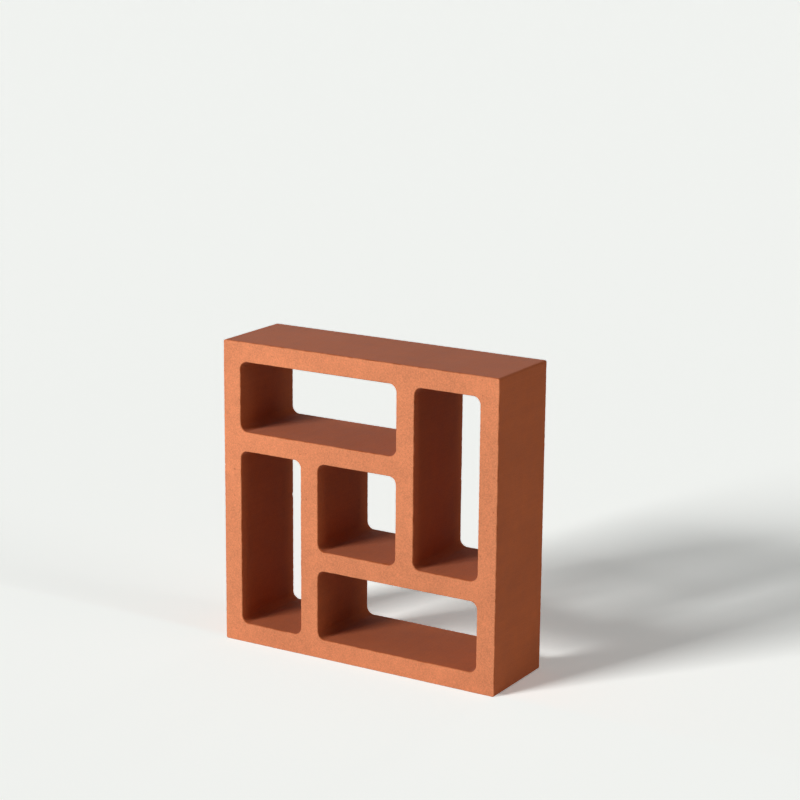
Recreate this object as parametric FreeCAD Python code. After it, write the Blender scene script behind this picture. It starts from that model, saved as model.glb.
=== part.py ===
import FreeCAD, Part

import os

# A pinwheel breeze block: a square screen block of fired terracotta, one extruded and wire-cut body.
# Four long slots turn round a square middle opening, and all five run straight through the block.
#
# Frame: millimetres, X across the face, Y through the block, Z up.
# The origin is the middle of the bed face that the block stands on.

block_width = 200.0        # X, across the face
block_height = 200.0       # Z, from bed face to bed face
block_depth = 60.0         # Y, the length that was wire-cut off the extruded column
wall = 13.0                # every outer wall and every web between two openings
slot_width = 45.5          # short side of each of the four slots
opening_radius = 5.0       # round corners of the openings, left by the die's cores
outer_radius = 1.2         # round corners of the outside, left by the die's mouth
arris_radius = 0.5         # worn edge round both cut faces and round every opening's mouth

# The edges of the clay, in from each side of the block: wall, slot, wall, then the middle opening.
left = -block_width / 2
right = block_width / 2
slot_near = wall
slot_far = slot_near + slot_width
middle_near = slot_far + wall

front = -block_depth / 2
back = block_depth / 2
plane_tolerance = 1e-6


def rounded_prism(x_low, x_high, z_low, z_high, radius):
    """A bar through the block's whole depth, with its four long edges rounded."""
    corner = FreeCAD.Vector(x_low, front, z_low)
    bar = Part.makeBox(x_high - x_low, block_depth, z_high - z_low, corner)
    long_edges = [edge for edge in bar.Edges if abs(edge.tangentAt(0).y) > 0.5]
    return bar.makeFillet(radius, long_edges)


def opening_bars():
    """The clay that the five openings take away, as seen from the front face."""
    top = block_height
    bounds = [
        # slot along the top, ending at the right slot's web
        (left + slot_near, right - middle_near, top - slot_far, top - slot_near),
        # slot up the right side, ending at the bottom slot's web
        (right - slot_far, right - slot_near, middle_near, top - slot_near),
        # slot along the bottom, ending at the left slot's web
        (left + middle_near, right - slot_near, slot_near, slot_far),
        # slot up the left side, ending at the top slot's web
        (left + slot_near, left + slot_far, slot_near, top - middle_near),
        # the middle opening
        (left + middle_near, right - middle_near, middle_near, top - middle_near),
    ]
    return [rounded_prism(*bound, opening_radius) for bound in bounds]


def on_cut_face(edge):
    """Whether an edge lies wholly in the front or the back face."""
    box = edge.BoundBox
    return any(
        abs(box.YMin - plane) < plane_tolerance and abs(box.YMax - plane) < plane_tolerance
        for plane in (front, back)
    )


def breeze_block():
    """The whole fired body: the outer bar less its openings, with worn arrises."""
    outside = rounded_prism(left, right, 0.0, block_height, outer_radius)
    body = outside.cut(opening_bars())
    cut_edges = [edge for edge in body.Edges if on_cut_face(edge)]
    worn = body.makeFillet(arris_radius, cut_edges)
    return worn.Solids[0]


os.makedirs("parts", exist_ok=True)
block = breeze_block()
block.exportStep("parts/breeze_block.step")
print("breeze_block: valid", block.isValid(), "volume mm3", round(block.Volume), "faces", len(block.Faces))
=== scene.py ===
import math
import random

import bmesh
import bpy
from mathutils import Matrix, Vector, noise


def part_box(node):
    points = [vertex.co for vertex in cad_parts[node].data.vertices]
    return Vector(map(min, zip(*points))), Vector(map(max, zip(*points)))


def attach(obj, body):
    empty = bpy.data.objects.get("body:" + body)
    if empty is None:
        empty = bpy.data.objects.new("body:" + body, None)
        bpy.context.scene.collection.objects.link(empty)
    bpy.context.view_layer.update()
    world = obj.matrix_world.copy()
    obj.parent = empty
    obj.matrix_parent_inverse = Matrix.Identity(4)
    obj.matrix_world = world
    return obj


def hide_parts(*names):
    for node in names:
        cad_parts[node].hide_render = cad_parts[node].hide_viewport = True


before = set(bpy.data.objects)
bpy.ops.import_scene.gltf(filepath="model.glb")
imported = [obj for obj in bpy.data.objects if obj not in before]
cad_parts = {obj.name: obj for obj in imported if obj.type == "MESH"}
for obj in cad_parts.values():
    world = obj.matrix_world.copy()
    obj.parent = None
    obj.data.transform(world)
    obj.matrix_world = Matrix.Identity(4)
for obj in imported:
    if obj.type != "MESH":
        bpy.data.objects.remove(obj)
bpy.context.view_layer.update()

# A pinwheel breeze block of fired terracotta, pushed through a die and wire-cut to length.
# X runs across the face, Y through the block and Z up, all in metres.

blockLow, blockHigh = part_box("breeze_block")
blockMiddle = (blockLow + blockHigh) / 2
print("frame loaded:", sorted(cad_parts))


# the block's shape

block = {
    "wall": 0.013,             # outer walls, and the webs between the openings
    "slotWidth": 0.0455,       # short side of the four slots
    "openingRadius": 0.005,    # round corners of the openings
    "outerRadius": 0.0012,     # round corners of the outside
    "arris": 0.0005,           # worn edge round both cut faces
    "arrisSegments": 3,
    "crispRim": 0.00015,       # narrow strip beside the arris, so that the flats stay crisp
    "wallCells": 14,           # cells across a wall
    "slotCells": 48,           # cells across a slot
    "middleCells": 58,         # cells across the middle opening
    "evenedReach": 0.011,      # how far round a rounded corner the cells are evened out
    "evenedPasses": 14,
    "evenedStep": 0.5,
    # rows of cells along the walls, from either cut face
    "rowDepths": [0.0014, 0.0028, 0.005, 0.0085, 0.0135, 0.0205],
    "touch": 0.000001,         # nearer than this counts as on the line or the plane
    "facing": 0.9,             # a normal this far along Y belongs to a cut face
    "nearlyFlat": 0.99,        # this far, to all but its arris
    "flat": 0.999,             # and this far, to its flat part
}

# what firing, the die and the wire leave on it, all cut inwards from the true surface
wear = {
    "seed": 7,
    "warp": 0.00012,           # slow unevenness of every face
    "warpLength": 0.055,
    "lowNoise": 0.3,           # noise below this leaves the surface where it is
    "dieLines": 0.00003,       # fine ridges along the length, left by the die
    "dieLineWidth": 0.0024,
    "dieLineStretch": 0.02,
    "wireGrain": 0.00005,      # unevenness of the cut faces
    "wireGrainLength": 0.0032,
    "tear": 0.00044,           # ragged arrises, where the wire left the clay, at the very most
    "tearLength": 0.0021,
    "tearLeast": 0.35,         # share of it where the arris is at its cleanest
    "tearPatch": 0.02,         # length of the rough and the clean stretches
    "tearPatchFade": (0.25, 0.75),
    "pits": 150,               # small holes in the cut faces
    "pitDepth": 0.00028,
    "pitSizes": (0.3, 1),
    "chips": 10,               # small chips off the arrises
    "chipRadius": 0.0016,
    "chipDepth": 0.0005,
    "chipSizes": (0.5, 1.3),
    # where each kind of mark starts in the noise
    "warpStart": 3.1,
    "wireStart": 9.4,
    "dieStart": 5.7,
    "tearStart": 12.5,
    "patchStart": 21.0,
}


def cellEnds(low, high, cells):
    return [low + (high - low) * i / cells for i in range(cells)]


def latticeLines(low, high):
    wall, slot = block["wall"], block["slotWidth"]
    turns = [low, low + wall, low + wall + slot, low + 2 * wall + slot,
             high - 2 * wall - slot, high - wall - slot, high - wall, high]
    cells = [block["wallCells"], block["slotCells"], block["wallCells"], block["middleCells"],
             block["wallCells"], block["slotCells"], block["wallCells"]]
    lines = []
    for a, b, count in zip(turns, turns[1:], cells):
        lines += cellEnds(a, b, count)
    return turns, lines + [high]


def openingBoxes(turnsX, turnsZ):
    # lowest X, highest X, lowest Z and highest Z of each opening, going round like a pinwheel
    nearX, slotX, webX, middleX, farWebX, farSlotX = turnsX[1:7]
    nearZ, slotZ, webZ, middleZ, farWebZ, farSlotZ = turnsZ[1:7]
    return {
        "topSlot": (nearX, middleX, farWebZ, farSlotZ),
        "rightSlot": (farWebX, farSlotX, webZ, farSlotZ),
        "bottomSlot": (webX, farSlotX, nearZ, slotZ),
        "leftSlot": (nearX, slotX, nearZ, middleZ),
        "middleOpening": (webX, middleX, webZ, middleZ),
    }


def roundCorner(bm, corner, turnX, turnZ, radius):
    # slides the rim's vertices near a square corner onto its arc; turnX and turnZ point along its two sides
    centre = corner + (turnX + turnZ) * radius
    touch = block["touch"]
    for vert in [v for v in bm.verts if v.is_boundary]:
        away = vert.co - corner
        alongX, alongZ = away.dot(turnX), away.dot(turnZ)
        onX = abs(alongZ) < touch and -touch < alongX < radius + touch
        onZ = abs(alongX) < touch and -touch < alongZ < radius + touch
        if not (onX or onZ):
            continue
        side, other, along = (turnX, turnZ, alongX) if onX else (turnZ, turnX, alongZ)
        angle = (1 - along / radius) * math.pi / 4
        vert.co = centre - other * radius * math.cos(angle) - side * radius * math.sin(angle)


def evenCells(bm, corners):
    # the cells beside a rounded corner are pulled even
    near = [v for v in bm.verts if not v.is_boundary
            and any((v.co - c).length < block["evenedReach"] for c in corners)]
    for _ in range(block["evenedPasses"]):
        bmesh.ops.smooth_vert(bm, verts=near, factor=block["evenedStep"],
                              use_axis_x=True, use_axis_z=True)


def cutFaceSheet(bm):
    # one flat sheet of cells with the five openings left out, at the front cut face
    turnsX, linesX = latticeLines(blockLow.x, blockHigh.x)
    turnsZ, linesZ = latticeLines(blockLow.z, blockHigh.z)
    cellsX, cellsZ = len(linesX) - 1, len(linesZ) - 1
    bmesh.ops.create_grid(bm, x_segments=cellsX, y_segments=cellsZ, size=1)
    for vert in bm.verts:
        column = round((vert.co.x + 1) / 2 * cellsX)
        row = round((vert.co.y + 1) / 2 * cellsZ)
        vert.co = Vector((linesX[column], blockLow.y, linesZ[row]))

    openings = openingBoxes(turnsX, turnsZ)
    inOpening = []
    for face in bm.faces:
        middle = face.calc_center_median()
        if any(x0 < middle.x < x1 and z0 < middle.z < z1 for x0, x1, z0, z1 in openings.values()):
            inOpening.append(face)
    bmesh.ops.delete(bm, geom=inOpening, context="FACES")

    corners = []
    outside = (blockLow.x, blockHigh.x, blockLow.z, blockHigh.z)
    for sides, radius in [(box, block["openingRadius"]) for box in openings.values()] + [
            (outside, block["outerRadius"])]:
        x0, x1, z0, z1 = sides
        for x, turnX in ((x0, 1), (x1, -1)):
            for z, turnZ in ((z0, 1), (z1, -1)):
                corner = Vector((x, blockLow.y, z))
                roundCorner(bm, corner, Vector((turnX, 0, 0)), Vector((0, 0, turnZ)), radius)
                corners.append(corner)
    evenCells(bm, corners)


def isRim(edge):
    # an edge between a cut face and a wall
    flats = sum(abs(face.normal.y) > block["facing"] for face in edge.link_faces)
    return len(edge.link_faces) == 2 and flats == 1


def blockShell():
    bm = bmesh.new()
    cutFaceSheet(bm)
    depth = blockHigh.y - blockLow.y
    bmesh.ops.solidify(bm, geom=bm.faces[:], thickness=depth)
    bmesh.ops.recalc_face_normals(bm, faces=bm.faces[:])
    bm.normal_update()

    rims = [edge for edge in bm.edges if isRim(edge)]
    bmesh.ops.bevel(bm, geom=rims, offset=block["arris"], offset_type="OFFSET", affect="EDGES",
                    segments=block["arrisSegments"], profile=0.5, material=-1, clamp_overlap=False)
    bm.normal_update()
    for sign in (-1, 1):
        flats = [face for face in bm.faces if face.normal.y * sign > block["flat"]]
        bmesh.ops.inset_region(bm, faces=flats, thickness=block["crispRim"],
                               use_boundary=True, use_even_offset=True)

    firstRow = block["arris"] + block["crispRim"]
    for depthIn in [firstRow] + block["rowDepths"]:
        for y in (blockLow.y + depthIn, blockHigh.y - depthIn):
            bmesh.ops.bisect_plane(bm, geom=bm.verts[:] + bm.edges[:] + bm.faces[:],
                                   dist=block["touch"] / 10, plane_co=Vector((0, y, 0)),
                                   plane_no=Vector((0, 1, 0)))
    bm.normal_update()
    return bm


def isOnCutFace(vert):
    return min(vert.co.y - blockLow.y, blockHigh.y - vert.co.y) < block["touch"]


def isOnArris(vert):
    # on the rounded arris, not on the flat of the cut face
    depthIn = min(vert.co.y - blockLow.y, blockHigh.y - vert.co.y)
    isFlat = isOnCutFace(vert) and abs(vert.normal.y) > block["nearlyFlat"]
    return depthIn < block["arris"] + block["touch"] and not isFlat


def between(value, low, high):
    # 0 below low, 1 above high and smooth between them
    share = min(1, max(0, (value - low) / (high - low)))
    return share * share * (3 - 2 * share)


def unevenness(point, length, start):
    # slow noise from 0 to 1
    return 0.5 + 0.5 * noise.noise(point / length + Vector((start, 0, 0)))


def unevenDepth(point, mark, length, start):
    # noise shaped so that much of the surface stays untouched
    return wear[mark] * between(unevenness(point, wear[length], wear[start]), wear["lowNoise"], 1)


def wearShell(bm):
    # every mark goes inwards from the true surface, so the block keeps its size
    chance = random.Random(wear["seed"])
    bm.verts.ensure_lookup_table()
    bm.normal_update()
    arrisVerts = [v for v in bm.verts if isOnArris(v)]
    faceVerts = [v for v in bm.verts if isOnCutFace(v) and abs(v.normal.y) > block["flat"]]
    arrisIndices = {v.index for v in arrisVerts}
    depth = {}

    for vert in bm.verts:
        point = vert.co
        inwards = unevenDepth(point, "warp", "warpLength", "warpStart")
        if abs(vert.normal.y) > block["facing"]:
            inwards += unevenDepth(point, "wireGrain", "wireGrainLength", "wireStart")
        else:
            across = Vector((point.x, point.y * wear["dieLineStretch"], point.z))
            inwards += unevenDepth(across, "dieLines", "dieLineWidth", "dieStart")
        if vert.index in arrisIndices:
            ragged = unevenness(point, wear["tearLength"], wear["tearStart"])
            patchy = between(unevenness(point, wear["tearPatch"], wear["patchStart"]), *wear["tearPatchFade"])
            share = wear["tearLeast"] + (1 - wear["tearLeast"]) * patchy
            inwards += wear["tear"] * share * ragged ** 2
        depth[vert.index] = inwards

    for vert in chance.sample(faceVerts, wear["pits"]):
        depth[vert.index] += wear["pitDepth"] * chance.uniform(*wear["pitSizes"])

    chipCentres = [(v.co.copy(), chance.uniform(*wear["chipSizes"]))
                   for v in chance.sample(arrisVerts, wear["chips"])]
    for vert in bm.verts:
        for centre, size in chipCentres:
            away = (vert.co - centre).length / (wear["chipRadius"] * size)
            if away < 1:
                depth[vert.index] += wear["chipDepth"] * size * (1 - away * away) ** 2

    for vert in bm.verts:
        vert.co -= vert.normal * depth[vert.index]
    bm.normal_update()


def makeBlock():
    bm = blockShell()
    worn = bm.verts.layers.float.new("worn")
    cutFace = bm.verts.layers.float.new("cutFace")
    for vert in bm.verts:
        vert[worn] = 1.0 if isOnArris(vert) else 0.0
        vert[cutFace] = 1.0 if isOnCutFace(vert) else 0.0
    wearShell(bm)
    for face in bm.faces:
        face.smooth = True
    mesh = bpy.data.meshes.new("breezeBlock")
    bm.to_mesh(mesh)
    print("block:", len(bm.verts), "vertices,", sum(len(f.verts) - 2 for f in bm.faces), "triangles")
    bm.free()
    piece = bpy.data.objects.new("breezeBlock", mesh)
    bpy.context.scene.collection.objects.link(piece)
    return piece


# terracotta

clay = {
    "cutColourWithSheen": (0.665, 0.228, 0.104, 1),      # where the wire opened the clay; part of its paleness is a painted sheen
    "skinColourWithShade": (0.41, 0.093, 0.024, 1),      # darker and deeper red on the faces the die shaped; the deeper red is partly painted shade that holds back their sheen
    "dustColour": (0.74, 0.27, 0.125, 1),       # rubbed arrises
    "speckColour": (0.30, 0.075, 0.028, 1),
    "paleSpeckColour": (0.80, 0.36, 0.19, 1),
    "cloudSize": 0.045,          # slow change of tone from the kiln
    "cloudShare": 0.30,
    "patchSize": 0.007,
    "patchShare": 0.22,
    "grainSize": 0.0008,
    "grainShare": 0.68,
    "skinGrainShare": 0.45,
    "dieLineSize": 0.0016,       # fine lines along the length
    "dieLineShare": 0.14,
    "dieLineStretch": 0.012,
    "fineness": 0.55,            # how much finer noise shows in all of them
    "toneSpread": 0.55,          # how far the tone moves either way
    "speckCell": 0.0042,
    "speckSize": 0.11,           # share of its cell
    "speckSoftness": (1.6, 0.5),   # where a speck's edge starts and ends, in its sizes
    "darkSpecks": 0.22,          # share of the cells that hold one
    "darkSpeckShare": 0.35,
    "paleSpecks": 0.3,
    "paleSpeckCell": 0.00294,
    "paleSpeckShift": 0.37,      # keeps them off the dark ones
    "paleSpeckShare": 0.35,
    "rubbed": 0.55,              # how pale a rubbed arris is
    "rubbedWhere": (0.35, 0.6),  # patch noise between which it fades in
    "roughness": 0.88,
    "skinRoughness": 0.74,
    "roughnessSway": 0.16,
    "specular": 0.2,
    "sheen": 0.09,               # a chalky bloom, seen along the faces
    "sheenRoughness": 0.4,
    "grainHeight": 0.00022,
    "skinGrainFade": -0.6,       # nearer to 0, the smoother the skin
    "dieLineHeight": 0.00003,
}


def addNode(tree, kind, sockets=None, **settings):
    node = tree.nodes.new("ShaderNode" + kind)
    for name, value in settings.items():
        setattr(node, name, value)
    for name, value in (sockets or {}).items():
        if isinstance(value, bpy.types.NodeSocket):
            tree.links.new(value, node.inputs[name])
        else:
            node.inputs[name].default_value = value
    return node


def sums(tree, operation, first, second):
    return addNode(tree, "Math", {0: first, 1: second}, operation=operation).outputs[0]


def mixed(tree, share, first, second, blend="MIX"):
    node = addNode(tree, "Mix", data_type="RGBA", blend_type=blend)
    for name, value in (("Factor_Float", share), ("A_Color", first), ("B_Color", second)):
        socket = next(i for i in node.inputs if i.identifier == name)
        if isinstance(value, bpy.types.NodeSocket):
            tree.links.new(value, socket)
        else:
            socket.default_value = value
    return next(o for o in node.outputs if o.identifier == "Result_Color")


def noiseOf(tree, place, size, detail=3):
    sockets = {"Vector": place, "Scale": 1 / size, "Detail": detail, "Roughness": clay["fineness"]}
    return addNode(tree, "TexNoise", sockets).outputs["Fac"]


def ramped(tree, value, low, high):
    sockets = {"Value": value, "From Min": low, "From Max": high}
    return addNode(tree, "MapRange", sockets, clamp=True, interpolation_type="SMOOTHSTEP").outputs[0]


def swayed(tree, share, noiseValue):
    # noise about zero, times its share
    return sums(tree, "MULTIPLY", sums(tree, "SUBTRACT", noiseValue, 0.5), share)


def specksOf(tree, place, cell, keep, offset):
    # round specks in a few of the cells, none in the rest
    shifted = addNode(tree, "Mapping", {"Vector": place, "Location": (offset, offset, offset)}).outputs[0]
    cells = addNode(tree, "TexVoronoi", {"Vector": shifted, "Scale": 1 / cell})
    start, end = (clay["speckSize"] * share for share in clay["speckSoftness"])
    dots = ramped(tree, cells.outputs["Distance"], start, end)
    chosen = addNode(tree, "SeparateColor", {"Color": cells.outputs["Color"]}).outputs[0]
    return sums(tree, "MULTIPLY", dots, sums(tree, "LESS_THAN", chosen, keep))


def makeTerracotta():
    material = bpy.data.materials.new("terracotta")
    material.use_nodes = True
    tree = material.node_tree
    shader = tree.nodes["Principled BSDF"]
    place = addNode(tree, "TexCoord").outputs["Object"]
    along = addNode(tree, "Mapping", {"Vector": place, "Scale": (1, clay["dieLineStretch"], 1)}).outputs[0]
    onCut = addNode(tree, "Attribute", attribute_name="cutFace").outputs["Fac"]
    onArris = addNode(tree, "Attribute", attribute_name="worn").outputs["Fac"]
    onSkin = sums(tree, "SUBTRACT", 1.0, onCut)

    cloud = noiseOf(tree, place, clay["cloudSize"])
    patch = noiseOf(tree, place, clay["patchSize"])
    grain = noiseOf(tree, place, clay["grainSize"])
    dieLine = noiseOf(tree, along, clay["dieLineSize"], detail=4)

    # tone from 0, dark, to 1, pale
    grainShare = addNode(tree, "MapRange", {"Value": onCut, "To Min": clay["skinGrainShare"],
                                            "To Max": clay["grainShare"]}).outputs[0]
    tone = sums(tree, "ADD", swayed(tree, clay["cloudShare"], cloud), 0.5)
    tone = sums(tree, "ADD", tone, swayed(tree, clay["patchShare"], patch))
    tone = sums(tree, "ADD", tone, swayed(tree, grainShare, grain))
    lines = sums(tree, "MULTIPLY", swayed(tree, clay["dieLineShare"], dieLine), onSkin)
    tone = sums(tree, "ADD", tone, lines)

    # cut faces and skin differ partly by painted light: a painted sheen on the cut faces, painted shade on
    # the skin
    body = mixed(tree, onCut, clay["skinColourWithShade"], clay["cutColourWithSheen"])
    spread = clay["toneSpread"]
    shade = addNode(tree, "MapRange", {"Value": tone, "To Min": 1 - spread, "To Max": 1 + spread},
                    clamp=False).outputs[0]
    shadeColour = addNode(tree, "CombineColor", {0: shade, 1: shade, 2: shade}).outputs[0]
    colour = mixed(tree, 1.0, body, shadeColour, "MULTIPLY")
    darkSpecks = specksOf(tree, place, clay["speckCell"], clay["darkSpecks"], 0.0)
    colour = mixed(tree, sums(tree, "MULTIPLY", darkSpecks, clay["darkSpeckShare"]), colour,
                   clay["speckColour"])
    paleSpecks = specksOf(tree, place, clay["paleSpeckCell"], clay["paleSpecks"], clay["paleSpeckShift"])
    paleSpecks = sums(tree, "MULTIPLY", paleSpecks, onCut)
    colour = mixed(tree, sums(tree, "MULTIPLY", paleSpecks, clay["paleSpeckShare"]), colour,
                   clay["paleSpeckColour"])
    rubbed = sums(tree, "MULTIPLY", onArris, ramped(tree, patch, *clay["rubbedWhere"]))
    colour = mixed(tree, sums(tree, "MULTIPLY", rubbed, clay["rubbed"]), colour, clay["dustColour"])
    tree.links.new(colour, shader.inputs["Base Color"])

    rough = addNode(tree, "MapRange", {"Value": onCut, "To Min": clay["skinRoughness"],
                                       "To Max": clay["roughness"]}).outputs[0]
    rough = sums(tree, "ADD", rough, swayed(tree, clay["roughnessSway"], patch))
    tree.links.new(rough, shader.inputs["Roughness"])
    shader.inputs["Specular IOR Level"].default_value = clay["specular"]
    shader.inputs["Sheen Weight"].default_value = clay["sheen"]
    shader.inputs["Sheen Roughness"].default_value = clay["sheenRoughness"]

    lineRelief = addNode(tree, "Bump", {"Strength": onSkin, "Height": dieLine,
                                        "Distance": clay["dieLineHeight"]}).outputs[0]
    holes = sums(tree, "SUBTRACT", grain, darkSpecks)
    strength = ramped(tree, onCut, clay["skinGrainFade"], 1)
    relief = addNode(tree, "Bump", {"Strength": strength, "Height": holes,
                                    "Distance": clay["grainHeight"], "Normal": lineRelief}).outputs[0]
    tree.links.new(relief, shader.inputs["Normal"])
    return material


# floor, lamps and camera

lamps = {
    "key": {"azimuth": -26.2, "elevation": 26.3, "distance": 2.1,
            "width": 0.61, "height": 0.47, "power": 41.2},
    "rightFill": {"azimuth": 90, "elevation": 9, "spread": 24, "light": 0.275},
    "topFill": {"azimuth": 90, "elevation": 88, "spread": 50, "light": 0.06},
    "backFill": {"azimuth": 180, "elevation": 5, "spread": 10, "light": 0.22},
    "room": 0.012,
}

fillNames = [name for name in lamps if name.endswith("Fill")]

paleFloor = {
    "size": 40,
    "colour": (0.82, 0.835, 0.815, 1),          # as the block and the lamps meet it
    "shownColour": (0.871, 0.888, 0.863, 1),    # as the camera meets it, away from the shadow
    "shadowLift": 0.20,                         # how far the shadow is filled
    "frontLift": 0.75,                          # the same in front, where only the block's warm glow falls
    "frontStart": 0.01,                         # from here behind the front cut face
}


def onSphere(azimuth, elevation):
    # azimuth 0 is straight in front and 90 to the right; elevation is above the floor, both in degrees
    a, e = math.radians(azimuth), math.radians(elevation)
    return Vector((math.sin(a) * math.cos(e), -math.cos(a) * math.cos(e), math.sin(e)))


def placeLamp(name, light, towards, distance):
    lamp = bpy.data.objects.new(name, light)
    bpy.context.scene.collection.objects.link(lamp)
    lamp.location = blockMiddle + towards * distance
    lamp.rotation_mode = "QUATERNION"
    lamp.rotation_quaternion = (-towards).to_track_quat("-Z", "Y")
    return lamp


def makeLamps():
    key = lamps["key"]
    light = bpy.data.lights.new("keyLamp", "AREA")
    light.shape = "RECTANGLE"
    light.size = key["width"]
    light.size_y = key["height"]
    light.energy = key["power"]
    placeLamp("keyLamp", light, onSphere(key["azimuth"], key["elevation"]), key["distance"])
    for name in fillNames:
        fill = lamps[name]
        light = bpy.data.lights.new(name, "SUN")
        light.angle = math.radians(fill["spread"])
        light.energy = math.pi * fill["light"]
        lamp = placeLamp(name, light, onSphere(fill["azimuth"], fill["elevation"]), 1)
        lamp.visible_glossy = name != "backFill"     # it would glare off the top


def keyOnFloor(tree, place):
    # what the key lamp gives the open floor, where 1 is the light at which a colour shows as written
    key = lamps["key"]
    towards = onSphere(key["azimuth"], key["elevation"])
    lampPlace = blockMiddle + towards * key["distance"]
    toLamp = addNode(tree, "VectorMath", {0: lampPlace, 1: place}, operation="SUBTRACT").outputs[0]
    facing = addNode(tree, "VectorMath", {0: toLamp, 1: towards}, operation="DOT_PRODUCT").outputs["Value"]
    squared = addNode(tree, "VectorMath", {0: toLamp, 1: toLamp}, operation="DOT_PRODUCT").outputs["Value"]
    strength = key["power"] * lampPlace.z / math.pi ** 2
    return sums(tree, "DIVIDE", sums(tree, "MULTIPLY", facing, strength), sums(tree, "POWER", squared, 2.0))


def isSeen(tree):
    # 1 where the camera, a mirror or glass looks, 0 where the light is worked out
    ray = addNode(tree, "LightPath").outputs
    direct = sums(tree, "MAXIMUM", ray["Is Camera Ray"], ray["Is Transmission Ray"])
    return sums(tree, "MAXIMUM", direct, ray["Is Glossy Ray"])


def makeFloor():
    mesh = bpy.data.meshes.new("floor")
    bm = bmesh.new()
    bmesh.ops.create_grid(bm, x_segments=1, y_segments=1, size=paleFloor["size"] / 2)
    bm.to_mesh(mesh)
    bm.free()
    floor = bpy.data.objects.new("floor", mesh)
    bpy.context.scene.collection.objects.link(floor)
    material = bpy.data.materials.new("paleFloor")
    material.use_nodes = True
    tree = material.node_tree
    tree.nodes.clear()
    place = addNode(tree, "TexCoord").outputs["Object"]

    # evened out, so that the open floor shows as one colour however far it is from the lamp
    steady = lamps["room"]
    for fill in (lamps[name] for name in fillNames):
        steady += fill["light"] * math.sin(math.radians(fill["elevation"]))
    onFloor = sums(tree, "ADD", keyOnFloor(tree, place), steady)
    gain = sums(tree, "DIVIDE", 1.0, onFloor)
    gainColour = addNode(tree, "CombineColor", {0: gain, 1: gain, 2: gain}).outputs[0]
    evened = mixed(tree, 1.0, paleFloor["shownColour"], gainColour, "MULTIPLY")
    lit = addNode(tree, "BsdfDiffuse", {"Color": evened}).outputs[0]
    lift = addNode(tree, "Emission", {"Color": paleFloor["shownColour"]}).outputs[0]
    behind = addNode(tree, "SeparateXYZ", {"Vector": place}).outputs["Y"]
    inFront = ramped(tree, behind, blockLow.y + paleFloor["frontStart"], blockLow.y)
    share = addNode(tree, "MapRange", {"Value": inFront, "To Min": paleFloor["shadowLift"],
                                       "To Max": paleFloor["frontLift"]}).outputs[0]
    shown = addNode(tree, "MixShader", {0: share, 1: lit, 2: lift}).outputs[0]
    met = addNode(tree, "BsdfDiffuse", {"Color": paleFloor["colour"]}).outputs[0]

    surface = addNode(tree, "MixShader", {0: isSeen(tree), 1: met, 2: shown}).outputs[0]
    addNode(tree, "OutputMaterial", {"Surface": surface})
    mesh.materials.append(material)


def makeRoom():
    world = bpy.data.worlds.new("room")
    world.use_nodes = True
    tree = world.node_tree
    tree.nodes.clear()
    given = addNode(tree, "Background", {"Color": (1, 1, 1, 1), "Strength": lamps["room"]}).outputs[0]
    shown = addNode(tree, "Background", {"Color": paleFloor["shownColour"], "Strength": 1.0}).outputs[0]
    mix = addNode(tree, "MixShader", {0: isSeen(tree), 1: given, 2: shown}).outputs[0]
    addNode(tree, "OutputWorld", {"Surface": mix})
    bpy.context.scene.world = world


view = {
    "azimuth": 31.163,         # from straight in front, in degrees
    "elevation": 13.787,
    "roll": 0.475,
    "distance": 1.42466,
    "aimAside": 0.01188,       # the point aimed at, beside and above the block's middle
    "aimAbove": 0.0656,
    "lens": 101.21,
    "sensor": 36,
}


def makeCamera():
    data = bpy.data.cameras.new("camera")
    data.lens = view["lens"]
    data.sensor_width = view["sensor"]
    camera = bpy.data.objects.new("camera", data)
    bpy.context.scene.collection.objects.link(camera)
    back = onSphere(view["azimuth"], view["elevation"])
    level = (-back).cross(Vector((0, 0, 1))).normalized()
    upright = level.cross(-back)
    roll = math.radians(view["roll"])
    aside = level * math.cos(roll) + upright * math.sin(roll)
    above = upright * math.cos(roll) - level * math.sin(roll)
    aim = blockMiddle + aside * view["aimAside"] + above * view["aimAbove"]
    turn = Matrix((aside, above, back)).transposed()
    camera.location = aim + back * view["distance"]
    camera.rotation_mode = "QUATERNION"
    camera.rotation_quaternion = turn.to_quaternion()
    bpy.context.scene.camera = camera


piece = makeBlock()
piece.data.materials.append(makeTerracotta())
print("terracotta:", len(piece.data.materials[0].node_tree.nodes), "nodes")
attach(piece, "root")
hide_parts("breeze_block")
makeFloor()
makeLamps()
makeRoom()
print("floor and lamps:", ", ".join(["key"] + fillNames))
makeCamera()
print("camera:", view["azimuth"], "degrees round and", view["elevation"], "degrees up")
bpy.context.scene.view_settings.view_transform = "Standard"
